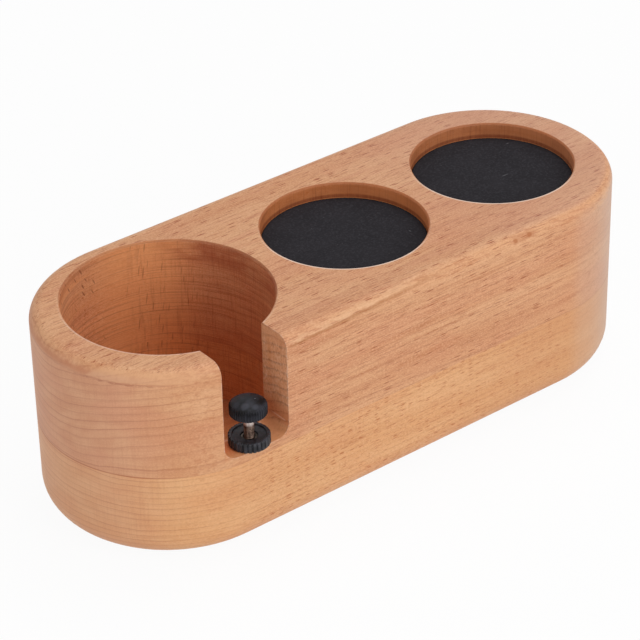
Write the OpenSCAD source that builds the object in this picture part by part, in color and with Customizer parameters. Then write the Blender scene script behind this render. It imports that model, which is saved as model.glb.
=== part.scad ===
// Espresso tamping station: a wooden block glued up from two boards, with a deep
// portafilter well, a notch with an adjustable rest screw, and two lined tool seats.

/* [Body] */
// Height of the wood from underside to top face
wood_h = 83; // [74:0.5:100]
// Thickness of the base board under the glue line
base_h = 38; // [30:0.5:42]
// Radius that rounds the top outer edge
top_round = 5; // [2:0.5:8]
// Radius that rounds the bottom outer edge
bottom_round = 12; // [4:0.5:15]
// Chamfer that breaks the sharp rims of the well and seats
edge_break = 0.6; // [0.3:0.1:1]

/* [Portafilter well] */
// Diameter of the well
well_d = 80; // [70:0.5:82]
// Wood left between the well and the block's round end
well_end_wall = 13; // [10:0.5:18]
// Wood left in front of the well, where the notch is cut
well_front_wall = 12; // [10:0.5:16]
// Wood left behind the well
well_back_wall = 8; // [6:0.5:12]
// Wood left under the well
well_floor = 12; // [8:0.5:18]

/* [Notch] */
// Width of the notch in the front wall
notch_w = 28.5; // [26:0.5:34]
// Wood left over the glue line under the notch floor
notch_floor = 3.5; // [1.5:0.5:8]
// Radius of the two corners along the notch floor
notch_fillet = 5; // [2:0.5:5]
// How far the notch sits to the right of the well's centre
notch_shift = 0.7; // [0:0.1:3]

/* [Tool seats] */
// Diameter of both seats
seat_d = 65; // [60:0.5:66]
// Depth of both seats before they are lined
seat_depth = 9.5; // [6:0.5:14]
// Wood left between the well and the near seat
seat_well_web = 9.7; // [8:0.1:14]
// Wood left between the two seats
seat_web = 10.8; // [8:0.1:14]
// Wood left between the far seat and the block's round end
seat_end_wall = 14.5; // [12:0.5:18]
// Thickness of the mats that line the seats
mat_t = 3; // [2:0.5:4]
// Gap all round between a mat and its seat
mat_gap = 0.3; // [0.2:0.1:0.6]

/* [Rest screw] */
// Outer diameter of the stud's thread
stud_d = 4; // [3:0.5:4]
// Length of the stud
stud_l = 36; // [32:1:38]
// Length of the point at each end of the stud
stud_point = 0.4; // [0.2:0.1:0.8]
// Distance of the stud's axis from the front face
screw_inset = 5.4; // [5:0.1:6.5]
// Depth of the hole for the stud, from the notch floor
screw_hole_depth = 32; // [31:0.5:35]
// Radial clearance between the stud and what it screws through or into
thread_gap = 0.06; // [0.04:0.01:0.1]
// Radial clearance between the stud and the wood under the insert
stud_hole_gap = 0.3; // [0.2:0.1:0.5]
// Diameter of the brass insert in the notch floor
insert_d = 6; // [5.5:0.5:7]
// Length of the brass insert
insert_l = 10; // [8:0.5:12]
// Distance from one grip groove round the insert to the next
insert_pitch = 2; // [1.5:0.5:3]
// Width of each grip groove
insert_groove_w = 0.7; // [0.4:0.1:1]
// Depth of each grip groove
insert_groove = 0.35; // [0.2:0.05:0.5]
// Radial gap between the insert and the wood
insert_gap = 0.03; // [0.01:0.01:0.08]

/* [Knob] */
// Diameter over the knob's ribs
knob_d = 14.2; // [12:0.2:16]
// Height of the knob's straight side
knob_side = 3.4; // [2.5:0.1:5]
// Radius that rounds the knob's shoulder
knob_shoulder = 1.2; // [0.6:0.1:2]
// Radius of curvature of the knob's crown
knob_crown = 12; // [10:0.5:20]
// Chamfer round the knob's underside
knob_chamfer = 0.4; // [0.2:0.1:0.8]
// Gap from the lock nut up to the knob as the screw stands
knob_lift = 8.8; // [7:0.1:9.5]
// How far the stud reaches up into the knob
stud_in_knob = 4; // [3:0.1:4]
// Number of ribs round the knob
knob_ribs = 42; // [30:1:48]
// Depth of the grooves between the knob's ribs
knob_groove = 0.35; // [0.2:0.05:0.5]
// Share of a rib's spacing that its flat top takes
knob_land = 0.25; // [0.2:0.05:0.6]

/* [Lock nut] */
// Diameter over the nut's ribs
nut_d = 15.8; // [14:0.2:17]
// Height of the nut
nut_h = 4; // [3.5:0.1:5]
// Chamfer round the nut's two edges
nut_chamfer = 0.4; // [0.2:0.1:0.8]
// Number of ribs round the nut
nut_ribs = 28; // [20:1:36]
// Depth of the grooves between the nut's ribs
nut_groove = 0.45; // [0.3:0.05:0.6]
// Share of a rib's spacing that its flat top takes
nut_land = 0.5; // [0.2:0.05:0.6]
// Width of the rim round the nut's dished top
nut_rim = 1.5; // [1:0.1:2]
// Depth of the nut's dished top
nut_dish = 0.8; // [0.4:0.1:1.2]
// Diameter of the threaded bush moulded into the nut
bush_d = 6.4; // [5.6:0.2:7.2]
// How far the bush stops below the dished top
bush_drop = 0.4; // [0.2:0.1:0.8]
// Radial gap between the bush and the nut's grip
bush_gap = 0.04; // [0.02:0.01:0.08]
// Air left under the nut so that it turns freely
nut_seat_gap = 0.05; // [0.02:0.01:0.1]

/* [Feet] */
// Diameter of the rubber feet
foot_d = 12; // [8:1:16]
// Thickness of the rubber feet
foot_t = 2.5; // [2:0.5:4]
// Depth of the pocket that each foot is stuck in
foot_pocket = 1; // [0.5:0.5:1.5]
// Gap all round between a foot and its pocket
foot_gap = 0.2; // [0.1:0.1:0.5]
// Flat wood left between a foot and the rounded bottom edge
foot_margin = 10; // [5:1:15]

/* [Hidden] */
$fn = 96;
over = 1;

body_l = well_end_wall + well_d + seat_well_web + seat_d + seat_web + seat_d + seat_end_wall;
body_w = well_front_wall + well_d + well_back_wall;
body_r = body_w / 2;
end_x = body_l / 2 - body_r;
underside_z = foot_t - foot_pocket;
seam_z = underside_z + base_h;
top_z = underside_z + wood_h;

well_r = well_d / 2;
well_x = -body_l / 2 + well_end_wall + well_r;
well_y = body_r - well_back_wall - well_r;
well_floor_z = underside_z + well_floor;
notch_x = well_x + notch_shift;
notch_z = seam_z + notch_floor;

seat_r = seat_d / 2;
far_seat_x = body_l / 2 - seat_end_wall - seat_r;
near_seat_x = far_seat_x - seat_d - seat_web;
seat_z = top_z - seat_depth;

stud_r = stud_d / 2;
thread_r = stud_r + thread_gap;
screw_y = screw_inset - body_r;
nut_z = notch_z + nut_seat_gap;
knob_z = nut_z + nut_h + knob_lift;
stud_z = knob_z + stud_in_knob - stud_l;
insert_r = insert_d / 2;
bush_h = nut_h - nut_dish - bush_drop;

knob_r = knob_d / 2;
crown_drop = sqrt(pow(knob_crown - knob_shoulder, 2) - pow(knob_r - knob_shoulder, 2));
crown_z = knob_side - crown_drop;
crown_reach = (knob_r - knob_shoulder) * knob_crown / (knob_crown - knob_shoulder);
knob_h = crown_z + knob_crown;

foot_y = body_r - bottom_round - foot_margin - foot_d / 2;

// Rounds the outer corner of a section whose corner centre is at the origin.
module corner_waste(r) {
    difference() {
        square(r + over);
        circle(r);
    }
}

// Half of the block's cross section between two heights, from the middle outwards.
module half_section(h, top_r, bottom_r) {
    difference() {
        square([body_r, h]);
        if (top_r > 0)
            translate([body_r - top_r, h - top_r]) corner_waste(top_r);
        if (bottom_r > 0)
            translate([body_r - bottom_r, bottom_r]) mirror([0, 1]) corner_waste(bottom_r);
    }
}

// A board with straight sides and round ends, with its edges rounded over.
module board(h, top_r = 0, bottom_r = 0) {
    for (side = [-1, 1])
        translate([side * end_x, 0, 0])
            rotate([0, 0, -90 * side])
                rotate_extrude(angle = 180) half_section(h, top_r, bottom_r);
    translate([-end_x, 0, 0]) rotate([90, 0, 90])
        linear_extrude(2 * end_x) {
            half_section(h, top_r, bottom_r);
            mirror([1, 0]) half_section(h, top_r, bottom_r);
        }
}

// A round pocket that is open at the top face, with its rim broken.
module rimmed_pocket(r, z) {
    translate([0, 0, z]) cylinder(h = top_z - z + over, r = r);
    translate([0, 0, top_z - edge_break])
        cylinder(h = edge_break + over, r1 = r, r2 = r + edge_break + over);
}

module well_cut() {
    translate([well_x, well_y, 0]) rimmed_pocket(well_r, well_floor_z);
}

// The notch: straight cheeks that run down into two round corners and a flat floor.
module notch_cut() {
    half = notch_w / 2;
    inner = half - notch_fillet;
    height = top_z - notch_z + over;
    translate([notch_x, well_y, notch_z]) rotate([90, 0, 0])
        linear_extrude(body_r + well_y + over) {
            translate([-half, notch_fillet]) square([notch_w, height - notch_fillet]);
            translate([-inner, 0]) square([2 * inner, height]);
            for (side = [-1, 1])
                translate([side * inner, notch_fillet]) circle(notch_fillet);
        }
}

// Stepped hole for the brass insert and the stud that passes through it.
module screw_hole() {
    translate([notch_x, screw_y, notch_z - screw_hole_depth])
        cylinder(h = screw_hole_depth + over, r = stud_r + stud_hole_gap);
    translate([notch_x, screw_y, notch_z - insert_l])
        cylinder(h = insert_l + over, r = insert_r + insert_gap);
}

module seat_cut(x) {
    translate([x, 0, 0]) rimmed_pocket(seat_r, seat_z);
}

module foot_place(side, front) {
    translate([side * end_x, front * foot_y, 0]) children();
}

module base_board() {
    color("burlywood") difference() {
        translate([0, 0, underside_z]) board(base_h, bottom_r = bottom_round);
        well_cut();
        notch_cut();
        screw_hole();
        for (side = [-1, 1])
            for (front = [-1, 1])
                foot_place(side, front)
                    translate([0, 0, underside_z - over])
                        cylinder(h = foot_pocket + over, r = foot_d / 2 + foot_gap);
    }
}

module upper_block() {
    color("tan") difference() {
        translate([0, 0, seam_z]) board(wood_h - base_h, top_r = top_round);
        well_cut();
        notch_cut();
        screw_hole();
        seat_cut(near_seat_x);
        seat_cut(far_seat_x);
    }
}

// Disc cut from foam rubber sheet, lying loose in its seat.
module mat(x) {
    color([0.16, 0.16, 0.18])
        translate([x, 0, seat_z]) cylinder(h = mat_t, r = seat_r - mat_gap);
}

// Brass sleeve with grip grooves outside and the stud's thread inside.
module threaded_insert() {
    grooves = floor(insert_l / insert_pitch) - 1;
    color("goldenrod") translate([notch_x, screw_y, notch_z - insert_l]) difference() {
        cylinder(h = insert_l, r = insert_r);
        translate([0, 0, -over]) cylinder(h = insert_l + 2 * over, r = thread_r);
        for (i = [1 : grooves])
            translate([0, 0, i * insert_pitch - insert_groove_w / 2]) difference() {
                cylinder(h = insert_groove_w, r = insert_r + over);
                translate([0, 0, -over])
                    cylinder(h = insert_groove_w + 2 * over, r = insert_r - insert_groove);
            }
    }
}

// Steel stud with its two ends pointed off.
module screw_stud() {
    color("silver") translate([notch_x, screw_y, stud_z]) {
        cylinder(h = stud_point, r1 = stud_r - stud_point, r2 = stud_r);
        translate([0, 0, stud_point]) cylinder(h = stud_l - 2 * stud_point, r = stud_r);
        translate([0, 0, stud_l - stud_point])
            cylinder(h = stud_point, r1 = stud_r, r2 = stud_r - stud_point);
    }
}

// Outline of a ribbed grip. The land is the share of each rib's spacing that its flat top
// takes, and the groove's two slopes and its floor share the rest.
function ribbed_ring(r, depth, count, land) =
    let (slope = (1 - land) / 3,
         corners = [[0, r], [land, r], [land + slope, r - depth], [1 - slope, r - depth]])
        [for (i = [0 : count - 1], corner = corners)
            let (a = 360 * (i + corner[0]) / count)
                [corner[1] * cos(a), corner[1] * sin(a)]];

// Section of the knob's turned form: chamfered foot, straight side, round shoulder, crown.
module knob_section() {
    difference() {
        union() {
            square([knob_r, knob_side]);
            translate([knob_r - knob_shoulder, knob_side]) circle(knob_shoulder);
            intersection() {
                square([crown_reach, knob_h]);
                translate([0, crown_z]) circle(knob_crown, $fn = 180);
            }
        }
        translate([-knob_r, -over]) square([knob_r, knob_h + 2 * over]);
        translate([knob_r - knob_chamfer, 0]) rotate(-45) square(2 * knob_chamfer);
    }
}

module screw_knob() {
    color([0.13, 0.13, 0.15]) translate([notch_x, screw_y, knob_z]) difference() {
        intersection() {
            linear_extrude(knob_h + over)
                polygon(ribbed_ring(knob_r, knob_groove, knob_ribs, knob_land));
            rotate_extrude() knob_section();
        }
        translate([0, 0, -over]) cylinder(h = stud_in_knob + over + thread_gap, r = thread_r);
    }
}

module lock_nut_bush() {
    color("goldenrod") translate([notch_x, screw_y, nut_z]) difference() {
        cylinder(h = bush_h, r = bush_d / 2);
        translate([0, 0, -over]) cylinder(h = bush_h + 2 * over, r = thread_r);
    }
}

// Plastic grip of the lock nut: ribbed edge, dished top and a hole for the bush.
module lock_nut_grip() {
    nut_r = nut_d / 2;
    color([0.13, 0.13, 0.15]) translate([notch_x, screw_y, nut_z]) difference() {
        intersection() {
            linear_extrude(nut_h) polygon(ribbed_ring(nut_r, nut_groove, nut_ribs, nut_land));
            union() {
                cylinder(h = nut_chamfer, r1 = nut_r - nut_chamfer, r2 = nut_r);
                translate([0, 0, nut_chamfer]) cylinder(h = nut_h - 2 * nut_chamfer, r = nut_r);
                translate([0, 0, nut_h - nut_chamfer])
                    cylinder(h = nut_chamfer, r1 = nut_r, r2 = nut_r - nut_chamfer);
            }
        }
        translate([0, 0, nut_h - nut_dish]) cylinder(h = nut_dish + over, r = nut_r - nut_rim);
        translate([0, 0, -over]) cylinder(h = nut_h + 2 * over, r = bush_d / 2 + bush_gap);
    }
}

module foot(side, front) {
    color([0.1, 0.1, 0.1]) foot_place(side, front) cylinder(h = foot_t, r = foot_d / 2);
}

base_board();
upper_block();
mat(near_seat_x);  // tamper_mat
mat(far_seat_x);  // leveller_mat
threaded_insert();
screw_stud();
screw_knob();
lock_nut_bush();
lock_nut_grip();
foot(-1, -1);  // foot_left_front
foot(-1, 1);  // foot_left_back
foot(1, -1);  // foot_right_front
foot(1, 1);  // foot_right_back
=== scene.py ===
import math

import bmesh
import bpy
from mathutils import Matrix, Vector


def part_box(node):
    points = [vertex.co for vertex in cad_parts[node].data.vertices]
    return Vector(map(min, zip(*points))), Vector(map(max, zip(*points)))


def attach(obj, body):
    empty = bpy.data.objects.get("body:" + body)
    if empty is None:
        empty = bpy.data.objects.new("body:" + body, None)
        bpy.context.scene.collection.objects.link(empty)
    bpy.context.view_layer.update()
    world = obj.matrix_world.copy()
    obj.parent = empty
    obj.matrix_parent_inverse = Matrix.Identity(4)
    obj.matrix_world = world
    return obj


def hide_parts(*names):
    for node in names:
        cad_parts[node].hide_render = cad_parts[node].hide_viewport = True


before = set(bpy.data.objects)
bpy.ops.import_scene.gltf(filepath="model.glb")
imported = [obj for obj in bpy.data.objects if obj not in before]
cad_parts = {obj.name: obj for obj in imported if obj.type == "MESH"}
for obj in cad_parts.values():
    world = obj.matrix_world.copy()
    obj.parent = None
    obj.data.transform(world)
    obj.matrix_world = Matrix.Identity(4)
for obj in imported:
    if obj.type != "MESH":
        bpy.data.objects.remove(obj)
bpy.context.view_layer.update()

mm = 0.001


# Camera: a long lens, as for a product shot, that looks down on the notch and the left end.
# The roll is the small tilt that the photograph was taken with.
camera_turn = math.radians(-38.0)
camera_height = math.radians(32.17)
camera_roll = math.radians(-1.23)
camera_lens = 154.7
camera_distance = 1095.8 * mm
camera_aim = Vector((7.65, 18.18, 31.76)) * mm

camera_back = Vector((math.sin(camera_turn) * math.cos(camera_height),
                      -math.cos(camera_turn) * math.cos(camera_height),
                      math.sin(camera_height)))
level_right = Vector((0, 0, 1)).cross(camera_back).normalized()
level_up = camera_back.cross(level_right)
level_camera = Matrix((level_right, level_up, camera_back)).transposed().to_4x4()

camera = bpy.data.objects.new("camera", bpy.data.cameras.new("camera"))
bpy.context.scene.collection.objects.link(camera)
camera.data.lens = camera_lens
camera.data.sensor_width = 36
camera.data.clip_start = 0.05
camera.data.clip_end = 20
camera.matrix_world = (Matrix.Translation(camera_aim + camera_back * camera_distance)
                       @ level_camera @ Matrix.Rotation(camera_roll, 4, "Z"))
bpy.context.scene.camera = camera
bpy.context.scene.view_settings.view_transform = "Standard"


# Photographer's table: a wide white sheet under the piece. The camera and the gloss of the
# knob see it as plain white, apart from the soft shadow that the piece leaves on it.
def srgb(red, green, blue):
    """A colour as a screen shows it, from 0 to 255, in the linear light that shaders use."""
    def linear(level):
        share = level / 255
        return share / 12.92 if share <= 0.04045 else ((share + 0.055) / 1.055) ** 2.4
    return (linear(red), linear(green), linear(blue), 1.0)


class Tone:
    """A number, colour or direction that a finish or a shape works out at each point."""

    def __init__(self, tree, socket=None):
        self.tree = tree
        self.socket = socket

    def node(self, kind, settings=None, inputs=None, output=0):
        made = self.tree.nodes.new(kind)
        for name, value in (settings or {}).items():
            setattr(made, name, value)
        for name, value in (inputs or {}).items():
            if isinstance(value, Tone):
                self.tree.links.new(value.socket, made.inputs[name])
            else:
                made.inputs[name].default_value = value
        return Tone(self.tree, made.outputs[output] if len(made.outputs) else None)

    def also(self, output):
        """Another output of the node that this one comes from."""
        return Tone(self.tree, self.socket.node.outputs[output])

    def math(self, operation, *others):
        terms = dict(enumerate((self, *others)))
        return self.node("ShaderNodeMath", {"operation": operation}, terms)

    def __add__(self, other):
        return self.math("ADD", other)

    __radd__ = __add__

    def __mul__(self, other):
        return self.math("MULTIPLY", other)

    __rmul__ = __mul__

    def __sub__(self, other):
        return self.math("SUBTRACT", other)

    def __rsub__(self, other):
        return self.node("ShaderNodeMath", {"operation": "SUBTRACT"}, {0: other, 1: self})

    def __truediv__(self, other):
        return self.math("DIVIDE", other)

    def vector(self, operation, inputs, output=0):
        return self.node("ShaderNodeVectorMath", {"operation": operation}, inputs, output)

    def limited(self):
        """This number, held between 0 and 1."""
        return self.math("MAXIMUM", 0.0).math("MINIMUM", 1.0)

    def most(self, *others):
        """The largest of this number and the others."""
        largest = self
        for other in others:
            largest = largest.math("MAXIMUM", other)
        return largest

    def between(self, start, end):
        """0 at start and 1 at end, with a smooth rise between them."""
        rise = {"interpolation_type": "SMOOTHSTEP"}
        return self.node("ShaderNodeMapRange", rise, {0: self, 1: start, 2: end})

    def inside(self, start, full, fading, end):
        """0 up to start, 1 from full to fading, and 0 again from end on."""
        return self.between(start, full) * (1 - self.between(fading, end))

    def about(self, level, full, end):
        """1 as far as full on both sides of a level, and 0 from end on."""
        return 1 - (self - level).math("ABSOLUTE").between(full, end)

    def blend(self, first, second, share):
        """A colour between two others."""
        return self.node("ShaderNodeMix", {"data_type": "RGBA"}, {0: share, 6: first, 7: second}, 2)

    def under(self, *layers):
        """This colour with others laid over it in turn, each given with its share."""
        shown = self
        for colour, share in layers:
            shown = shown.blend(shown, colour, share)
        return shown

    def point(self, x, y, z):
        return self.node("ShaderNodeCombineXYZ", None, {0: x, 1: y, 2: z})

    def millimetres(self):
        """The place on the object, in millimetres."""
        here = self.node("ShaderNodeTexCoord", None, None, "Object")
        return self.vector("SCALE", {0: here, "Scale": 1000.0})

    def cloud(self, place, detail=2.0, scale=1.0):
        """Soft noise from 0 to 1 that averages a half."""
        return self.node("ShaderNodeTexNoise", None, {"Vector": place, "Scale": scale, "Detail": detail})

    def specks(self, place, scale, size, rare):
        """Small round dots, at few of the places where they could be."""
        dust = self.node("ShaderNodeTexVoronoi", None, {"Vector": place, "Scale": scale})
        rarity = self.node("ShaderNodeSeparateColor", None, {0: dust.also("Color")}, 0)
        return (1 - dust.between(*size)) * rarity.between(*rare)

    def near(self, middle, reach, ragged=0.0):
        """1 inside an egg shape and 0 outside it, for a place; ragged breaks the shape's edge up."""
        away = self.vector("SUBTRACT", {0: self, 1: middle})
        scaled = self.vector("DIVIDE", {0: away, 1: reach})
        return 1 - (self.vector("LENGTH", {0: scaled}, "Value") + ragged).between(0.35, 1.0)

    def surface(self, look, bump):
        """The finish as a whole: what it looks like, and the relief that is pressed into it."""
        relief = self.node("ShaderNodeBump", None, bump, "Normal")
        whole = self.node("ShaderNodeBsdfPrincipled", None, {**look, "Normal": relief})
        self.node("ShaderNodeOutputMaterial", None, {"Surface": whole})


def new_finish(name):
    material = bpy.data.materials.new(name)
    material.use_nodes = True
    material.node_tree.nodes.clear()
    return material, Tone(material.node_tree)


def plain_object(name, data):
    made = bpy.data.objects.new(name, data)
    bpy.context.scene.collection.objects.link(made)
    return made


def seen_plainly(pen):
    """1 for the rays that see the studio as plain white: the camera's, and those off a gloss."""
    rays = pen.node("ShaderNodeLightPath", None, None, "Is Camera Ray")
    return rays.most(rays.also("Is Glossy Ray"), rays.also("Is Transmission Ray"))


sheet_side = 6.0
sheet_white = (0.92, 0.92, 0.92, 1.0)
sheet_glow = 0.94

sheet_paper, pen = new_finish("table_paper")
paper = pen.node("ShaderNodeBsdfDiffuse", None, {"Color": sheet_white})
glow = pen.node("ShaderNodeEmission", None, {"Color": (1, 1, 1, 1), "Strength": 1.0})
lit_paper = pen.node("ShaderNodeMixShader", None, {0: seen_plainly(pen) * sheet_glow, 1: paper, 2: glow})
pen.node("ShaderNodeOutputMaterial", None, {"Surface": lit_paper})

sheet_corners = [(x * sheet_side / 2, y * sheet_side / 2, 0)
                 for x, y in ((-1, -1), (1, -1), (1, 1), (-1, 1))]
sheet_mesh = bpy.data.meshes.new("table_sheet")
sheet_mesh.from_pydata(sheet_corners, [], [(0, 1, 2, 3)])
sheet_mesh.materials.append(sheet_paper)
table_sheet = plain_object("table_sheet", sheet_mesh)


# Studio light: three soft boxes, one over the table, one by the camera and a low one at the
# left, and a white room that fills the shadows.
def soft_box(name, place, side, power):
    lamp = bpy.data.lights.new(name, "AREA")
    lamp.shape = "SQUARE"
    lamp.size = side
    lamp.energy = power
    made = plain_object(name, lamp)
    made.location = place
    made.rotation_euler = Vector(place).to_track_quat("Z", "Y").to_euler()


soft_box("box_over_table", place=(0.5, 0.2, 1.8), side=1.1, power=10.3)
soft_box("box_by_camera", place=(0.2, -1.2, 0.75), side=0.9, power=7.4)
soft_box("box_at_left", place=(-1.2, -0.45, 0.3), side=0.8, power=3.0)

room_fill = 0.38
room = bpy.data.worlds.new("white_room")
bpy.context.scene.world = room
room.use_nodes = True
room.node_tree.nodes.clear()
pen = Tone(room.node_tree)
room_light = pen.node("ShaderNodeBackground", None, {
    "Color": (1, 1, 1, 1), "Strength": room_fill + seen_plainly(pen) * (1 - room_fill)})
pen.node("ShaderNodeOutputWorld", None, {"Surface": room_light})


# Base board and upper block: two planks of steamed beech, glued flat on each other, sawn and
# milled as one, sanded and oiled. The grain runs along the block. The cutter left the walls of
# the well, the notch and the seats darker, and a lighter line is painted on each rim as a highlight.
seam_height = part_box("base_board")[1].z / mm
block_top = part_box("upper_block")[1].z / mm
block_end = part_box("upper_block")[0].x / mm
top_round = 5
round_start = block_top - top_round
well_middle = (-76, 2)
well_radius = 40
notch_middle = -75.3
notch_half = 14.25
notch_floor = 43
seat_radius = 32.5
seat_middles = [((low.x + high.x) / 2 / mm, (low.y + high.y) / 2 / mm)
                for low, high in (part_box("tamper_mat"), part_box("leveller_mat"))]
mat_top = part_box("tamper_mat")[1].z / mm
away_x, away_y = 0.62, 0.79     # straight away from the camera, seen from above
cheek_slice = 7.5               # where the pattern of the cheeks is cut from its noise
eased_edge = 0.6 * mm
grain_depth = 0.05 * mm


def beech(name, bow, ring_gap, shift, pale, deep, rosy, line_tone, fleck_tone, line_share,
          fleck_share, fleck_length, streaks):
    """One plank's finish. Bow is how far the growth rings, level at the back, rise towards the
    front; shift moves the plank's pattern along the tree. Where x, y or z rises between two
    numbers, these are places on the block in millimetres; the sizes of a pattern are too."""
    material, pen = new_finish(name)
    spot = pen.millimetres()
    x = pen.node("ShaderNodeSeparateXYZ", None, {0: spot})
    y, z = x.also(1), x.also(2)
    along = x + shift
    facing = pen.node("ShaderNodeNewGeometry", None, None, "Normal")
    lean = pen.node("ShaderNodeSeparateXYZ", None, {0: facing})
    upward = lean.also(2)
    level_face = upward.between(0.8, 1.0)
    end_grain = lean.math("ABSOLUTE").between(0.3, 0.8)

    def grain(length, width, height, detail=2.0, up=z):
        """Clouds of these sizes along the tree, across it and upwards."""
        return pen.cloud(pen.point(along / length, y / width, up / height), detail)

    # Growth rings: a soft late wood that ends in a thin dark line.
    sway = grain(170, 40, 40) - 0.5
    waver = grain(50, 7, 7) - 0.5
    front_rise = (1 - y.between(-54, 8)) * z.between(seam_height - 8, seam_height + 22) * bow
    level = z - front_rise + sway * 5 + waver * 0.9
    years = (level + along * 0.008) / ring_gap
    season = years.math("FRACT")
    vigour = pen.node("ShaderNodeTexWhiteNoise", {"noise_dimensions": "1D"}, {
        "W": years.math("FLOOR") + 0.5})
    late_wood = season.inside(0.3, 0.95, 0.96, 1.0)
    ring_line = season.inside(0.76, 0.95, 0.95, 1.0) * (0.35 + vigour * 0.65)

    # Long grain: broad streaks, fine fibres and the dark dashes of the rays. Dashes crowd together.
    streak = grain(150, 12, 8, 3.0, level)
    thread = grain(40, 0.7, 0.7, 3.0)
    fibre = grain(15, 0.45, 0.45)
    grit = grain(0.9, 0.5, 0.5, 1.0)
    patch = grain(40, 22, 14, up=level)
    vein = grain(42, 1.3, 1.1, 4.0, level).between(0.56, 0.66)
    rosy_vein = grain(60, 2.4, 5, 3.0, level).between(0.54, 0.7)
    crowd = (grain(30, 12, 12) - 0.5) * 0.3

    def dashes(length, width, height, share, seed, slant=0.0):
        cell = pen.node("ShaderNodeTexVoronoi", None, {"Scale": 1.0, "Vector": pen.point(
            (along + z * slant + seed) / length, y / width, z / height)})
        chance = pen.node("ShaderNodeSeparateColor", None, {0: cell.also("Color")}) + crowd
        return (1 - cell.between(0.16, 0.36)) * chance.between(1 - share, 1.12 - share)

    fine_dash = dashes(fleck_length * 1.3, 0.54, 0.54, 0.9, 11)
    bold_dash = dashes(fleck_length, 0.76, 0.76, fleck_share, 47)

    # Cutter's work: the inside of each pocket, the chamfer and both edges of its far rim, a painted
    # highlight on the near rim, and the inside's right half.
    def pocket(middle, radius):
        from_x, from_y = x - middle[0], y - middle[1]
        reach = (from_x * from_x + from_y * from_y).math("SQRT")
        side = from_x * away_x + from_y * away_y
        far = side.between(-8, 6)
        inner = ((1 - (reach - far * 0.4).between(radius + 0.02, radius + 0.25))
                 * (1 - (z - far * 0.25).between(block_top - 0.3, block_top - 0.1)))
        chamfer = (reach.inside(radius - 0.1, radius + 0.1, radius + 0.5, radius + 0.75)
                   * z.between(block_top - 0.75, block_top - 0.55) * far)
        edge = reach.about(radius + 0.3, 0.6, 1.2) * far
        # painted highlight: a pale band on the top just outside the near rim
        near_rim_highlight = (reach.about(radius + 0.8, 0.2, 0.5) * upward.between(0.9, 0.99)
                    * (1 - side.between(-26, -6)))
        right = (from_x * away_y - from_y * away_x).between(-4, 26)
        return inner, chamfer, edge, near_rim_highlight, inner * right

    in_well, well_chamfer, well_edge, well_rim_highlight, _ = pocket(well_middle, well_radius)
    near_seat, near_chamfer, near_edge, near_seat_rim_highlight, near_right = pocket(seat_middles[0], seat_radius)
    far_seat, far_chamfer, far_edge, far_seat_rim_highlight, far_right = pocket(seat_middles[1], seat_radius)
    in_seat = near_seat.most(far_seat)
    right_half = near_right.most(far_right)
    in_notch = (x.about(notch_middle, notch_half + 0.02, notch_half + 0.2)
                * (1 - y.between(-40, -30)) * z.between(notch_floor - 0.2, notch_floor - 0.05)
                * (1 - z.between(block_top - 6, block_top - 1)))
    milled = in_well.most(in_notch, in_seat)
    not_milled = 1 - milled
    on_cheek = in_notch * end_grain
    on_sill = in_notch * upward.between(0.35, 0.85)
    flat_side = x.about(0, 66, 92).most(upward.between(0.6, 0.95))
    dash = (fine_dash * 0.62).most(bold_dash) * (1 - end_grain) * flat_side.most(in_well)

    # End grain: a weave of upright rays and thin rings. The cutter tore the well's wall: short
    # slanted flecks at the back, and long upright rays where the end grain begins.
    warp = grain(8, 0.55, 14)
    weft = grain(60, 20, 0.6, up=level)
    band = grain(70, 40, 1.8, up=level)
    upright = dashes(0.9, 0.9, 12.0, 0.42, 5, slant=-0.16) * x.inside(-72, -64, -47, -40)
    flecks = dashes(1.4, 3.4, 5.0, 0.36, 83, slant=0.5) * (1 - x.between(-86, -74))
    torn = (upright * 0.62).most(flecks) * in_well * (1 - upward.between(0.3, 0.7))
    striation = pen.cloud(pen.point(x / 0.6, y / 0.6, z / 14))

    # The oiled wood: rings, fibres, dashes and a rough grit. The right end is painted pale as a
    # sheen of light, and the base board darkens towards it.
    long_grain = (1 - end_grain) * streaks
    rings = ((late_wood * 0.2 + ring_line * 0.8) * (line_share + end_grain * 0.38)
             * (1 - on_cheek) * (1 - in_well * 0.4))
    rough = (0.55 + flat_side * 0.45) * (1 - end_grain * 0.25) + in_well * 0.5
    below_seam = 1 - z.between(seam_height - 0.1, seam_height + 0.1)
    # painted sheen: the sides of the right end are made pale
    painted_end_sheen = (x.between(78, 88) * 0.18 + x.between(86, 112) * 0.32) * (1 - y.between(-35, 30))
    tone = pen.blend(pale, deep, streak.between(0.35, 0.68)).under(
        (rosy, patch.between(0.42, 0.68) * 0.6),
        (line_tone, rings),
        (line_tone, thread.between(0.5, 0.75) * long_grain * (0.42 - upward.between(0.5, 1) * 0.1)),
        (line_tone, fibre.between(0.5, 0.75) * long_grain * 0.36),
        (srgb(192, 118, 74), vein * long_grain * not_milled * 0.34),
        (line_tone, grit.between(0.5, 0.7) * rough * 0.32),
        (srgb(236, 190, 152), grit.between(0.5, 0.3) * rough * 0.42),
        (srgb(202, 132, 100), rosy_vein * level_face * 0.34),
        (line_tone, end_grain * (0.04 + warp.between(0.45, 0.7) * 0.16
                                 + weft.between(0.45, 0.7) * 0.2)),
        (fleck_tone, dash * (0.8 + upward.between(0.5, 1) * 0.2)),
        (srgb(200, 142, 98), x.between(0, 80) * below_seam * 0.3),
        (srgb(206, 184, 170), painted_end_sheen * (1 - upward.between(0.2, 0.8))))

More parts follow.
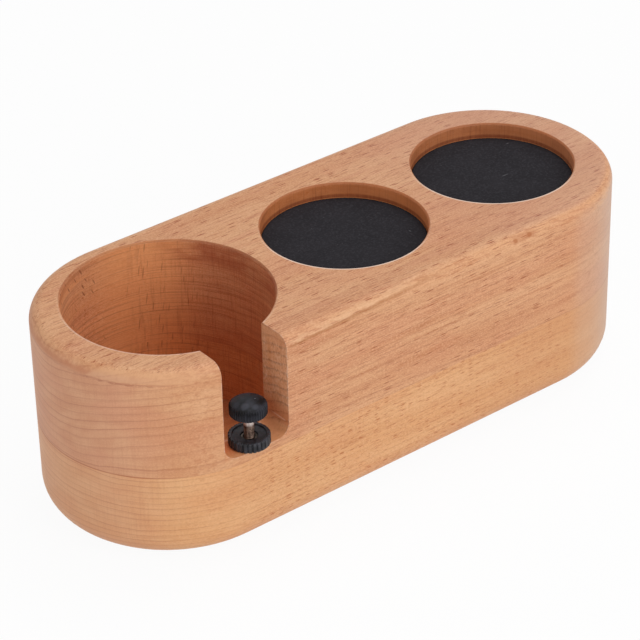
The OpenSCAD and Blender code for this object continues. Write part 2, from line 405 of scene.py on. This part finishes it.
    # Round-over: the sander crossed the rings here, so pale and dark jags mix along it, with a
    # dappled crease on the front.
    jag = pen.cloud(pen.point((along + z * 1.6) / 6, y / 1.5, z / 1.5), 3.0)
    round_over = (z.between(round_start - 0.8, round_start + 0.6)
                  * (1 - upward.between(0.86, 0.99)) * not_milled)
    above_crease = z + (jag - 0.5) * 2.0 - x * 0.035 - (round_start + 2.8)
    at_crease = (1 - y.between(-46, -40)) * x.inside(-62, -56, -20, 30) * not_milled
    dapple = above_crease.inside(0.2, 1.0, 1.6, 3.4) * (0.25 + jag.between(0.4, 0.6) * 0.75)
    tone = tone.under(
        (pale, round_over * jag.between(0.46, 0.6) * 0.35),
        (line_tone, round_over * jag.between(0.46, 0.3) * (1 - end_grain * 0.5) * 0.42),
        (srgb(236, 194, 154), dapple * at_crease * 0.36),
        (srgb(172, 112, 66), above_crease.about(0, 0.2, 1.0) * at_crease * 0.5))

    # Milled walls: darker, redder and striped by the cutter. The seats are stained, lighter at their
    # right. The well's wall shows its bands and is pale at the back; its right side is painted
    # darker and redder as shade.
    seat_stain = grain(9, 9, 4, 3.0).between(0.42, 0.62)
    rim_stain = (z.between(block_top - 13, block_top - 5) * x.between(-60, -48)
                 * grain(14, 14, 5, up=level).between(0.36, 0.58))
    tone = tone.under(
        (srgb(212, 120, 62), milled * (0.3 + in_seat * 0.35 - in_notch * 0.15)),
        (srgb(128, 66, 30), milled * end_grain * in_seat * 0.3),
        (srgb(240, 138, 66), near_seat * 0.22),
        (srgb(128, 62, 34), milled * striation.between(0.5, 0.8) * (0.16 + in_seat * 0.22)),
        (srgb(130, 58, 34), in_seat * seat_stain * 0.16),
        (srgb(146, 80, 46), (in_seat - right_half) * 0.22),
        (srgb(246, 148, 92), right_half * 0.24),
        (srgb(128, 56, 30), in_well * band.between(0.5, 0.7) * 0.22),
        (srgb(230, 158, 104), in_well * band.between(0.5, 0.3) * (1 - x.between(-70, -40)) * 0.5),
        (srgb(242, 166, 106), in_well * x.inside(-92, -68, -54, -40) * 0.6),
        # painted shade: the well's right side is made darker and redder
        (srgb(150, 66, 36), in_well * x.between(-56, -38) * 0.27),
        (srgb(124, 56, 30), in_well * (weft.between(0.5, 0.72) * 0.3 + ring_line * 0.1)),
        (srgb(122, 54, 30), in_well * warp.between(0.52, 0.72) * x.between(-72, -60) * 0.2),
        (srgb(146, 58, 28), in_well * rim_stain * 0.46))

    # Notch: on its cheeks rings stand out, and a painted sheen lies pale by the front and the well,
    # over a painted shade low down. Its floor is painted orange behind the nut, as bounced light.
    # Then painted shade at the seats' feet, the tears and the chamfers.
    cheek_wave = pen.cloud(pen.point(cheek_slice, y / 9, z / 7), 3.0)
    cheek_season = ((z + y * 0.3 + cheek_wave * 4) / 3.6).math("FRACT")
    cheek_ring = cheek_season.inside(0.5, 0.88, 0.88, 0.98)
    nap = pen.cloud(pen.point(cheek_slice, y / 0.5, z / 1.1))
    # painted sheen: the cheeks are made pale near the front and by the well
    cheek_sheen = pen.cloud(pen.point(cheek_slice, y / 3.2, z / 12)).between(0.4, 0.62) * 0.6
    cheek_sheen = (cheek_sheen.most(1 - y.between(-50, -47), y.between(-39.5, -37))
           * z.between(notch_floor + 8, notch_floor + 14) * (0.15 + nap.between(0.52, 0.34) * 0.85))
    # painted shade: a darker, redder band low on the cheeks
    low_cheek_shade = on_cheek * z.inside(notch_floor + 2, notch_floor + 5, notch_floor + 7, notch_floor + 13)
    # painted light: orange bounced light on the floor behind the nut
    glow_behind_nut = (1 - x.between(notch_middle - 8, notch_middle)) * y.between(-50, -42)
    # painted shade: a dark band at the foot of each seat's wall, by the mat
    shade_by_mat = z.inside(mat_top, mat_top + 0.1, mat_top + 1.0, mat_top + 1.9) * in_seat
    tone = tone.under(
        (srgb(232, 162, 110), on_cheek * 0.3),
        (srgb(122, 60, 30), on_cheek * (cheek_ring * (0.22 + jag.between(0.4, 0.6) * 0.3))),
        (srgb(120, 70, 42), on_cheek * nap.between(0.52, 0.7) * 0.32),
        (srgb(232, 196, 168), on_cheek * cheek_sheen * 0.76),
        (srgb(186, 92, 48), low_cheek_shade * 0.4),
        (srgb(244, 164, 108), on_sill * 0.6),
        (srgb(214, 98, 38), on_sill * glow_behind_nut * 0.6),
        (srgb(116, 48, 26), shade_by_mat * (0.35 + striation * 0.5)),
        (srgb(112, 46, 24), torn * 0.6),
        (srgb(150, 88, 54), near_chamfer.most(far_chamfer, well_chamfer) * 0.5))

    # Blemishes: two pin knots by the front edge, a pale streak low on the notch's cheek, and the
    # turn of the grain on the left end, where a pale band lies over a dark, broken line. The left
    # end and the right half of the top are rosier.
    def blemish(middle, reach):
        return spot.near(middle, reach, (jag - 0.5) * 0.8)

    knots = blemish((50.2, -49.2, 82.3), (1.7, 1.3, 1.2)).most(
        blemish((57.4, -49, 82.5), (1.4, 1.2, 1.0)))
    left_end = 1 - x.between(block_end + 22, block_end + 42)
    above_turn = z + (jag - 0.5) * 1.8 - round_start
    behind_turn = (y + above_turn * 1.2).between(-17.0, -15.2)
    turn_edge = above_turn.about(0.1, 0.1, 0.8) * (1 - x.between(block_end + 8, block_end + 32))
    far_end = (1 - x.between(block_end + 3, block_end + 26)) * (1 - upward.between(0.3, 0.9))
    tone = tone.under(
        (line_tone, blemish((54, -49, 82.4), (9, 2.5, 2.2)) * 0.4),
        (srgb(176, 106, 62), knots * 0.75),
        (srgb(236, 206, 180), blemish((-61, -44, 48), (1.0, 6, 0.5)) * 0.4),
        (srgb(196, 122, 74), above_turn.inside(0.2, 1.2, 1.8, 3.4) * left_end * behind_turn * 0.6),
        (pale, above_turn.inside(-0.1, 0.4, 3.8, 4.8) * (1 - behind_turn) * left_end * 0.5),
        (srgb(170, 100, 62), (turn_edge * (1 - behind_turn * 0.6)
                              * (0.36 + jag.between(0.4, 0.6) * 0.46))),
        (srgb(212, 156, 136), far_end * not_milled * 0.26),
        (srgb(200, 156, 140), level_face * x.between(10, 110) * not_milled * 0.3))

    # Glue line and painted edge highlights: the line breaks up along the long grain, and every edge
    # but the pockets' far ones is painted pale as a highlight, as are the pockets' near rims.
    from_seam = (z - seam_height).math("ABSOLUTE")
    seam_break = pen.cloud(pen.point(x / 30, y / 30, 0.0), 3.0)
    glue_line = (1 - from_seam.between(0.1, 0.42)) * seam_break.between(0.3, 0.5)
    glue_line = glue_line * (0.12 + 0.88 * end_grain)
    off_seam = from_seam.between(0.6, 1.1)
    eased = pen.node("ShaderNodeBevel", {"samples": 6}, {"Radius": eased_edge})
    rim = 1 - pen.vector("DOT_PRODUCT", {0: facing, 1: eased}, "Value")
    kept = 1 - well_edge.most(near_edge, far_edge) * 0.8
    # painted highlight along the eased edges
    edge_highlight = rim.between(0.005, 0.09) * off_seam * kept * (0.06 + jag.between(0.4, 0.68) * 0.5)
    # painted highlights on the near rims
    rim_highlights = near_seat_rim_highlight.most(far_seat_rim_highlight, well_rim_highlight * 0.4)
    tone = tone.under(
        (fleck_tone, glue_line * not_milled * 0.6),
        (srgb(248, 224, 206), edge_highlight.most(rim_highlights * 0.75)))

    soft_facing = pen.node("ShaderNodeMix", {"data_type": "VECTOR"}, {0: off_seam, 4: facing, 5: eased}, 1)
    height = (fibre * 0.4 + grit * 0.4 + thread * 0.3 - dash * 0.6 - torn * 0.6 - ring_line * 0.2
              - glue_line + milled * striation * 0.5)
    sheen = 0.48 + fibre * 0.1 + dash * 0.1 - late_wood * 0.04 + milled * 0.08
    pen.surface({"Base Color": tone, "Roughness": sheen, "IOR": 1.45, "Specular IOR Level": 0.34},
                {"Strength": 0.35, "Distance": grain_depth, "Height": height, "Normal": soft_facing})
    return material


upper_beech = beech(
    "beech_upper", bow=10.5, ring_gap=3.3, shift=0,
    pale=srgb(226, 172, 129), deep=srgb(215, 155, 112), rosy=srgb(216, 151, 113),
    line_tone=srgb(184, 116, 76), fleck_tone=srgb(154, 72, 34), line_share=0.44, fleck_share=0.28,
    fleck_length=6.8, streaks=1.0)
base_beech = beech(
    "beech_base", bow=1, ring_gap=2.4, shift=400,
    pale=srgb(234, 181, 131), deep=srgb(227, 169, 118), rosy=srgb(226, 163, 114),
    line_tone=srgb(190, 122, 76), fleck_tone=srgb(182, 100, 52), line_share=0.36, fleck_share=0.42,
    fleck_length=4.2, streaks=0.55)


def dress(node, material):
    """A CAD piece keeps its shape and takes a finish."""
    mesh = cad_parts[node].data
    mesh.materials.clear()
    mesh.materials.append(material)


dress("upper_block", upper_beech)
dress("base_board", base_beech)


# Seat mats: two discs cut from black foam rubber sheet with a knife, laid loose in the seats.
# The cut edge is a little soft and the skin is dull, with pale dust and tiny open cells.
mat_edge = 0.35 * mm
mat_flat_from_rim = 1.2 * mm
mat_rings = 24
cell_depth = 0.06 * mm
scratches = (((86.7, -2.7, 78), (2.2, 0.4, 1)),      # a middle and a reach, in millimetres
             ((105, 16.3, 78), (1.0, 0.4, 1)),
             ((29.3, -11.8, 78), (0.4, 0.9, 1)))


def foam_rubber():
    material, pen = new_finish("foam_rubber")
    spot = pen.millimetres()
    cells = pen.node("ShaderNodeTexVoronoi", None, {"Vector": spot, "Scale": 1.7})
    cloudy = pen.cloud(spot, 4.0, scale=0.09)
    skin = pen.cloud(spot, 6.0, scale=1.2)
    speck = pen.specks(spot, 0.55, (0.05, 0.14), (0.72, 0.8))
    pit = 1 - cells.between(0.1, 0.28)
    tone = pen.blend(srgb(32, 30, 34), srgb(40, 38, 42), cloudy.between(0.3, 0.7)).under(
        (srgb(60, 58, 63), skin.between(0.42, 0.72) * 0.5),
        (srgb(24, 23, 25), pit * 0.35),
        (srgb(92, 90, 94), speck * 0.6),
        *((srgb(112, 112, 116), spot.near(middle, reach, skin - 0.5) * 0.45)
          for middle, reach in scratches))
    pen.surface({"Base Color": tone, "Roughness": 0.82 + cloudy * 0.12, "Specular IOR Level": 0.16},
                {"Strength": 0.5, "Distance": cell_depth, "Height": skin * 0.6 - pit * 0.6 + speck * 0.5})
    return material


# Every piece that is turned or moulded round an axis, a mat too, is a grid carried round in
# columns: either an outline, with even grooves pressed into its outermost band, or a thread.
weld = 0.002 * mm
sliver = 0.0005 * mm
fillet_steps = 4
nudge = 0.0001      # keeps a whole number from being floored to the one below it


def outline(corners):
    """The half section of a turned piece as points of radius and height. Each corner is a
    radius, a height and the fillet that rounds it."""
    points = []
    for i, (r, z, fillet) in enumerate(corners):
        corner = Vector((r, z))
        if not fillet:
            points.append(corner)
            continue
        before = (Vector(corners[i - 1][:2]) - corner).normalized()
        after = (Vector(corners[(i + 1) % len(corners)][:2]) - corner).normalized()
        half = before.angle(after) / 2
        reach = fillet / math.tan(half)
        centre = corner + (before + after).normalized() * (fillet / math.sin(half))
        start = corner + before * reach - centre
        turn = start.angle_signed(corner + after * reach - centre)
        for k in range(fillet_steps + 1):
            points.append(centre + Matrix.Rotation(-turn * k / fillet_steps, 2) @ start)
    return points


def new_tree(name, inputs):
    """An empty shape tree with its inputs, each a name and a kind."""
    tree = bpy.data.node_groups.new(name, "GeometryNodeTree")
    tree.interface.new_socket("Geometry", in_out="OUTPUT", socket_type="NodeSocketGeometry")
    for title, kind in inputs.items():
        tree.interface.new_socket(title, in_out="INPUT", socket_type="NodeSocket" + kind)
    return tree, Tone(tree)


def columns_and_rows(pen, columns, rows):
    """A grid to carry round, with the column and the row of each of its points."""
    grid = pen.node("GeometryNodeMeshGrid", None, {"Vertices X": columns + 1, "Vertices Y": rows}, "Mesh")
    index = pen.node("GeometryNodeInputIndex")
    column = (index / rows + nudge).math("FLOOR")
    return grid, column, index - column * rows


def carry_round(pen, grid, turn, radius, height, crease, finish):
    """The end of a tree: the grid goes round the axis, its seams are welded, and it is shaded
    smooth but for the edges that bend by more than the crease, in degrees."""
    angle = turn * math.tau
    spot = pen.point(radius * angle.math("COSINE"), radius * angle.math("SINE"), height)
    shaped = pen.node("GeometryNodeSetPosition", None, {"Geometry": grid, "Position": spot})
    closed = pen.node("GeometryNodeMergeByDistance", None, {"Geometry": shaped, "Distance": weld})
    bend = pen.node("GeometryNodeInputMeshEdgeAngle", None, None, "Unsigned Angle")
    soft = pen.node("FunctionNodeCompare", {"data_type": "FLOAT", "operation": "LESS_THAN"}, {
        0: bend, 1: math.radians(crease)})
    for domain, smooth in (("FACE", True), ("EDGE", soft)):
        closed = pen.node("GeometryNodeSetShadeSmooth", {"domain": domain}, {
            "Geometry": closed, "Shade Smooth": smooth})
    whole = pen.node("GeometryNodeRealizeInstances", None, {"Geometry": closed})
    done = pen.node("GeometryNodeSetMaterial", None, {"Geometry": whole, "Material": finish})
    pen.node("NodeGroupOutput", None, {"Geometry": done})


def turning_tree():
    tree, pen = new_tree("turned_with_grooves", {
        "Outline": "Geometry", "Grooves": "Int", "Columns per Groove": "Int", "Groove Depth": "Float",
        "Land": "Float", "Fade Radius": "Float", "Full Radius": "Float", "Finish": "Material"})
    given = pen.node("NodeGroupInput", None, None, "Outline")
    grooves, land = given.also("Grooves"), given.also("Land")
    columns = grooves * given.also("Columns per Groove")
    rows = pen.node("GeometryNodeAttributeDomainSize", None, {"Geometry": given}, "Point Count")
    grid, column, row = columns_and_rows(pen, columns, rows)
    section = pen.node("GeometryNodeInputPosition")
    found = pen.node("GeometryNodeSampleIndex", {"data_type": "FLOAT_VECTOR"}, {
        "Geometry": given, "Value": section, "Index": row})
    radius = pen.node("ShaderNodeSeparateXYZ", None, {0: found}, 0)
    turn = column / columns
    place = (turn * grooves + nudge).math("FRACT")
    slope = (1 - land) / 3
    pressed = place.inside(land, land + slope, 1 - slope, 1.0)
    band = radius.between(given.also("Fade Radius"), given.also("Full Radius"))
    reach = radius - pressed * band * given.also("Groove Depth")
    carry_round(pen, grid, turn, reach, radius.also(2), crease=38, finish=given.also("Finish"))
    return tree


turned_with_grooves = turning_tree()


def grown(name, seed_mesh, tree, sizes, place):
    """The plain mesh that a tree makes from a seed, moved to its place on the block."""
    seed = plain_object(name, seed_mesh)
    growth = seed.modifiers.new("growth", "NODES")
    growth.node_group = tree
    ports = {item.name: item.identifier for item in tree.interface.items_tree if item.in_out == "INPUT"}
    for size, value in sizes.items():
        growth[ports[size]] = value
    ready = seed.evaluated_get(bpy.context.evaluated_depsgraph_get())
    mesh = bpy.data.meshes.new_from_object(ready)
    seed.modifiers.clear()
    seed.data = mesh
    shape = bmesh.new()
    shape.from_mesh(mesh)
    bmesh.ops.dissolve_degenerate(shape, dist=sliver, edges=shape.edges)
    bmesh.ops.recalc_face_normals(shape, faces=shape.faces)
    bmesh.ops.translate(shape, vec=place, verts=shape.verts)
    shape.to_mesh(mesh)
    shape.free()
    mesh.name = name
    return seed


def turned(name, points, finish, place, grooves, per_groove, depth=0.0, land=0.5, fade=0.0, full=1.0):
    """A piece carried round from its half section. Land is the share of each rib that stays whole,
    and the grooves deepen from nothing at the radius fade to their depth at the radius full."""
    seed = bpy.data.meshes.new(name + "_outline")
    seed.from_pydata([(r, 0, z) for r, z in points], [(i, i + 1) for i in range(len(points) - 1)], [])
    sizes = {"Grooves": grooves, "Columns per Groove": per_groove, "Groove Depth": depth,
             "Land": land, "Fade Radius": fade, "Full Radius": full, "Finish": finish}
    return grown(name, seed, turned_with_grooves, sizes, place)


def foot_of(node):
    """The middle of a CAD piece's underside."""
    low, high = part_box(node)
    return Vector(((low.x + high.x) / 2, (low.y + high.y) / 2, low.z))


def size_of(node):
    """A CAD piece's radius and height."""
    low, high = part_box(node)
    return (high.x - low.x) / 2, high.z - low.z


black_foam = foam_rubber()
for node in ("tamper_mat", "leveller_mat"):
    mat_r, mat_t = size_of(node)
    face = [(mat_r - mat_flat_from_rim) * (1 - i / mat_rings) for i in range(mat_rings + 1)]
    section = [Vector((r, mat_t)) for r in reversed(face)]
    section += outline([(0, mat_t, 0), (mat_r, mat_t, mat_edge), (mat_r, 0, mat_edge), (0, 0, 0)])[1:]
    foam = turned(node + "_foam", section, black_foam, foot_of(node), grooves=96, per_groove=2)
    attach(foam, "station")
    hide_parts(node)


# Threaded insert: a brass sleeve with straight knurling in two bands, pressed into the notch
# floor so that the stud has metal to screw into.
thread_bore = 2.06 * mm     # plain, with a little room round the thread's crests
knurl_depth = 0.22 * mm
knurls = 30
waist = 0.35 * mm


def worked_metal(name, bright, dull, roughness, glint_above=1000.0):
    """Turned metal with fine tool marks round its axis and duller patches, and a painted highlight
    that makes it pale above a height in millimetres."""
    material, pen = new_finish(name)
    spot = pen.millimetres()
    patches = pen.cloud(spot, 4.0, scale=0.8)
    level = pen.node("ShaderNodeSeparateXYZ", None, {0: spot}, 2)
    marks = pen.cloud(pen.point(0.0, 0.0, level * 9), 3.0)
    # painted highlight: above the given height the metal is pale and less metallic
    painted_glint = level.between(glint_above, glint_above + 1.6) * 0.75
    tone = pen.blend(bright, dull, patches.between(0.4, 0.7)).under((srgb(232, 218, 212), painted_glint))
    pen.surface({"Base Color": tone, "Metallic": 1 - painted_glint * 0.8, "Roughness": roughness + patches * 0.15},
                {"Strength": 0.3, "Distance": 0.02 * mm, "Height": marks})
    return material


brass = worked_metal("brass", srgb(226, 190, 118), srgb(176, 138, 78), roughness=0.24)
insert_r, insert_h = size_of("threaded_insert")
third = insert_h / 3
insert_outline = outline([
    (thread_bore, 0, 0.2 * mm), (insert_r, 0, 0.25 * mm), (insert_r, third, 0.15 * mm),
    (insert_r - waist, third + waist, 0), (insert_r - waist, 2 * third - waist, 0),
    (insert_r, 2 * third, 0.15 * mm), (insert_r, insert_h, 0.25 * mm), (thread_bore, insert_h, 0.2 * mm)])
insert_outline.append(insert_outline[0])
insert = turned("insert_sleeve", insert_outline, brass, foot_of("threaded_insert"), grooves=knurls,
                per_groove=6, depth=knurl_depth, land=0.3, fade=insert_r - waist, full=insert_r - 0.1 * mm)
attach(insert, "station")
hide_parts("threaded_insert")


# Stud: a steel rod with a rolled M4 thread along its whole length and a short point at each
# end. It screws through the lock nut's bush into the insert, and the knob is moulded on it.
thread_pitch = 0.7 * mm
thread_core = 1.6 * mm      # an M4 screw's core radius; the flanks here meet half way down to it
thread_columns = 32
rows_a_turn = 10
stud_point = 0.4 * mm
# above this height the stud is painted pale, as a highlight
stud_glint_above = 50.6     # a height in millimetres, between the lock nut and the knob


def thread_tree():
    tree, pen = new_tree("rolled_thread", {
        "Length": "Float", "Crest Radius": "Float", "Core Radius": "Float", "Pitch": "Float",
        "Point": "Float", "Columns": "Int", "Rows a Turn": "Int", "Finish": "Material"})
    length = pen.node("NodeGroupInput", None, None, "Length")
    columns, pitch, point = (length.also(name) for name in ("Columns", "Pitch", "Point"))
    crest, core = length.also("Crest Radius"), length.also("Core Radius")
    steps = (length / pitch * length.also("Rows a Turn")).math("CEIL")
    grid, column, row = columns_and_rows(pen, columns, steps + 3)
    height = ((row - 1) / steps).limited() * length
    on_side = row.math("GREATER_THAN", 0.5) * row.math("LESS_THAN", steps + 1.5)
    turn = column / columns
    winding = (height / pitch - turn + 1.0).math("FRACT")
    # The crest is flat over three fifths of the pitch.
    flank = ((winding - 0.5).math("ABSOLUTE") * 2.6 - 0.8).limited()
    threaded = core + (crest - core) * (1 - flank)
    from_end = height.math("MINIMUM", length - height)
    radius = threaded.math("MINIMUM", crest - point + from_end) * on_side
    carry_round(pen, grid, turn, radius, height, crease=50, finish=length.also("Finish"))
    return tree


stud_steel = worked_metal("stud_steel", srgb(132, 110, 98), srgb(64, 48, 40), roughness=0.36,
                          glint_above=stud_glint_above)
stud_r, stud_length = size_of("screw_stud")
stud = grown("threaded_stud", bpy.data.meshes.new("stud_seed"), thread_tree(), {
    "Length": stud_length, "Crest Radius": stud_r, "Core Radius": thread_core, "Pitch": thread_pitch,
    "Point": stud_point, "Columns": thread_columns, "Rows a Turn": rows_a_turn, "Finish": stud_steel,
}, foot_of("screw_stud"))
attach(stud, "stud")
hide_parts("screw_stud")


# Knob: black nylon moulded over the stud's head, with a low domed crown and fine ribs round
# its side that die out where the shoulder begins.
knob_bore_depth = 4.06 * mm
knob_side = 3.4 * mm
knob_shoulder = 1.2 * mm
knob_crown = 12 * mm
knob_chamfer = 0.4 * mm
knob_ribs = 42
knob_groove = 0.35 * mm
shoulder_steps = 6
crown_steps = 14
# painted highlights on the knob's crown: two soft patches and a small glint, each a middle, a reach in
# millimetres and a colour
knob_highlights = (((-78.4, -47.2, 61.4), (2.3, 1.8, 2.5), srgb(72, 73, 82)),
             ((-75.6, -49.6, 61.4), (1.9, 1.5, 2.5), srgb(66, 67, 76)),
             ((-73.1, -46.0, 62), (0.32, 0.24, 1), srgb(168, 168, 176)))


def black_plastic(name, dark, cloudy, cloud_scale, shine, highlights=()):
    """Moulded nylon, satin, with cloudy flow marks, a little dust and painted highlights, pale spots
    each given as a middle and a reach in millimetres and its colour."""
    material, pen = new_finish(name)
    spot = pen.millimetres()
    flow = pen.cloud(spot, scale=cloud_scale)
    stipple = pen.cloud(spot, scale=5.0)
    speck = pen.specks(spot, 1.6, (0.04, 0.1), (0.8, 0.9))
    # the given spots are painted highlights
    tone = pen.blend(dark, cloudy, flow.between(0.35, 0.68)).under(
        (srgb(105, 104, 110), speck * 0.6),
        *((highlight_tone, spot.near(middle, reach, (flow - 0.5) * 1.2) * 0.55)
          for middle, reach, highlight_tone in highlights))
    gloss = 0.36 + flow * 0.24 + stipple * 0.06
    pen.surface({"Base Color": tone, "Roughness": gloss, "Specular IOR Level": shine},
                {"Strength": 0.25, "Distance": 0.03 * mm, "Height": stipple + flow * 0.4})
    return material


knob_nylon = black_plastic("knob_nylon", srgb(14, 14, 17), srgb(46, 46, 53), cloud_scale=0.26,
                           shine=0.17, highlights=knob_highlights)
knob_r, knob_height = size_of("screw_knob")
knob_outline = outline([
    (0, knob_bore_depth, 0), (thread_bore, knob_bore_depth, 0), (thread_bore, 0, 0.2 * mm),
    (knob_r - knob_chamfer, 0, 0.1 * mm), (knob_r, knob_chamfer, 0.1 * mm), (knob_r, knob_side, 0)])
crown_middle = knob_height - knob_crown
shoulder_end = math.acos((knob_r - knob_shoulder) / (knob_crown - knob_shoulder))
for k in range(1, shoulder_steps + 1):
    lean = shoulder_end * k / shoulder_steps
    knob_outline.append(Vector((knob_r - knob_shoulder + knob_shoulder * math.cos(lean),
                                knob_side + knob_shoulder * math.sin(lean))))
for k in range(1, crown_steps + 1):
    lean = shoulder_end + (math.pi / 2 - shoulder_end) * k / crown_steps
    knob_outline.append(Vector((knob_crown * math.cos(lean), crown_middle + knob_crown * math.sin(lean))))
knob = turned("ribbed_knob", knob_outline, knob_nylon, foot_of("screw_knob"), grooves=knob_ribs,
              per_groove=8, depth=knob_groove, land=0.25, fade=knob_r - 0.8 * mm, full=knob_r - 0.1 * mm)
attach(knob, "knob")
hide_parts("screw_knob")


# Lock nut: a black nylon grip with broad ribs and a dished top, moulded round a threaded
# steel bush. Run down against the notch floor, it locks the stud at the chosen height.
nut_ribs = 28
nut_groove = 0.45 * mm
nut_rim = 1.5 * mm
nut_dish = 0.8 * mm
nut_chamfer = 0.4 * mm
bush_wall_gap = 0.04 * mm
bush_countersink = 0.3 * mm

nut_nylon = black_plastic("nut_nylon", srgb(25, 24, 29), srgb(54, 53, 60), cloud_scale=0.5, shine=0.38)
bush_r, bush_height = size_of("lock_nut_bush")
nut_r, nut_height = size_of("lock_nut_grip")
grip_bore = bush_r + bush_wall_gap
dish_floor = nut_height - nut_dish
nut_outline = outline([
    (grip_bore, 0, 0.1 * mm), (nut_r - nut_chamfer, 0, 0.1 * mm), (nut_r, nut_chamfer, 0.15 * mm),
    (nut_r, nut_height - nut_chamfer, 0.15 * mm), (nut_r - nut_chamfer, nut_height, 0.15 * mm),
    (nut_r - nut_rim, nut_height, 0.2 * mm), (nut_r - nut_rim, dish_floor, 0.35 * mm),
    (grip_bore, dish_floor, 0.1 * mm)])
nut_outline.append(nut_outline[0])
nut = turned("ribbed_lock_nut", nut_outline, nut_nylon, foot_of("lock_nut_grip"), grooves=nut_ribs,
             per_groove=12, depth=nut_groove, land=0.6, fade=nut_r - 0.9 * mm, full=nut_r - 0.5 * mm)
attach(nut, "nut_grip")
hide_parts("lock_nut_grip")

bush_steel = worked_metal("bush_steel", srgb(92, 86, 80), srgb(38, 34, 32), roughness=0.3)
bush_outline = outline([
    (thread_bore, 0, 0.15 * mm), (bush_r, 0, 0.15 * mm), (bush_r, bush_height, 0.2 * mm),
    (thread_bore + bush_countersink, bush_height, 0), (thread_bore, bush_height - bush_countersink, 0)])
bush_outline.append(bush_outline[0])
bush = turned("nut_bush_sleeve", bush_outline, bush_steel, foot_of("lock_nut_bush"), grooves=32,
              per_groove=2)
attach(bush, "nut_bush")
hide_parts("lock_nut_bush")


# Feet: four black rubber buttons stuck in shallow pockets under the block, with a soft edge
# and a shallow dimple in the face that meets the table.
foot_edge = 0.5 * mm
dimple = 0.3 * mm


def foot_rubber():
    material, pen = new_finish("foot_rubber")
    spot = pen.millimetres()
    bloom = pen.cloud(spot, 4.0, scale=0.5)
    tone = pen.blend(srgb(28, 28, 29), srgb(48, 47, 47), bloom.between(0.35, 0.7))
    pen.surface({"Base Color": tone, "Roughness": 0.7 + bloom * 0.15},
                {"Strength": 0.3, "Distance": 0.04 * mm, "Height": pen.cloud(spot, scale=6.0)})
    return material


button_rubber = foot_rubber()
for node in ("foot_left_front", "foot_left_back", "foot_right_front", "foot_right_back"):
    foot_r, foot_height = size_of(node)
    button_outline = outline([
        (0, dimple, 0), (foot_r * 0.5, dimple, 0.4 * mm), (foot_r * 0.6, 0, 0.3 * mm),
        (foot_r, 0, foot_edge), (foot_r, foot_height, 0.2 * mm), (0, foot_height, 0)])
    button = turned(node + "_button", button_outline, button_rubber, foot_of(node), grooves=24,
                    per_groove=3)
    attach(button, "station")
    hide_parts(node)
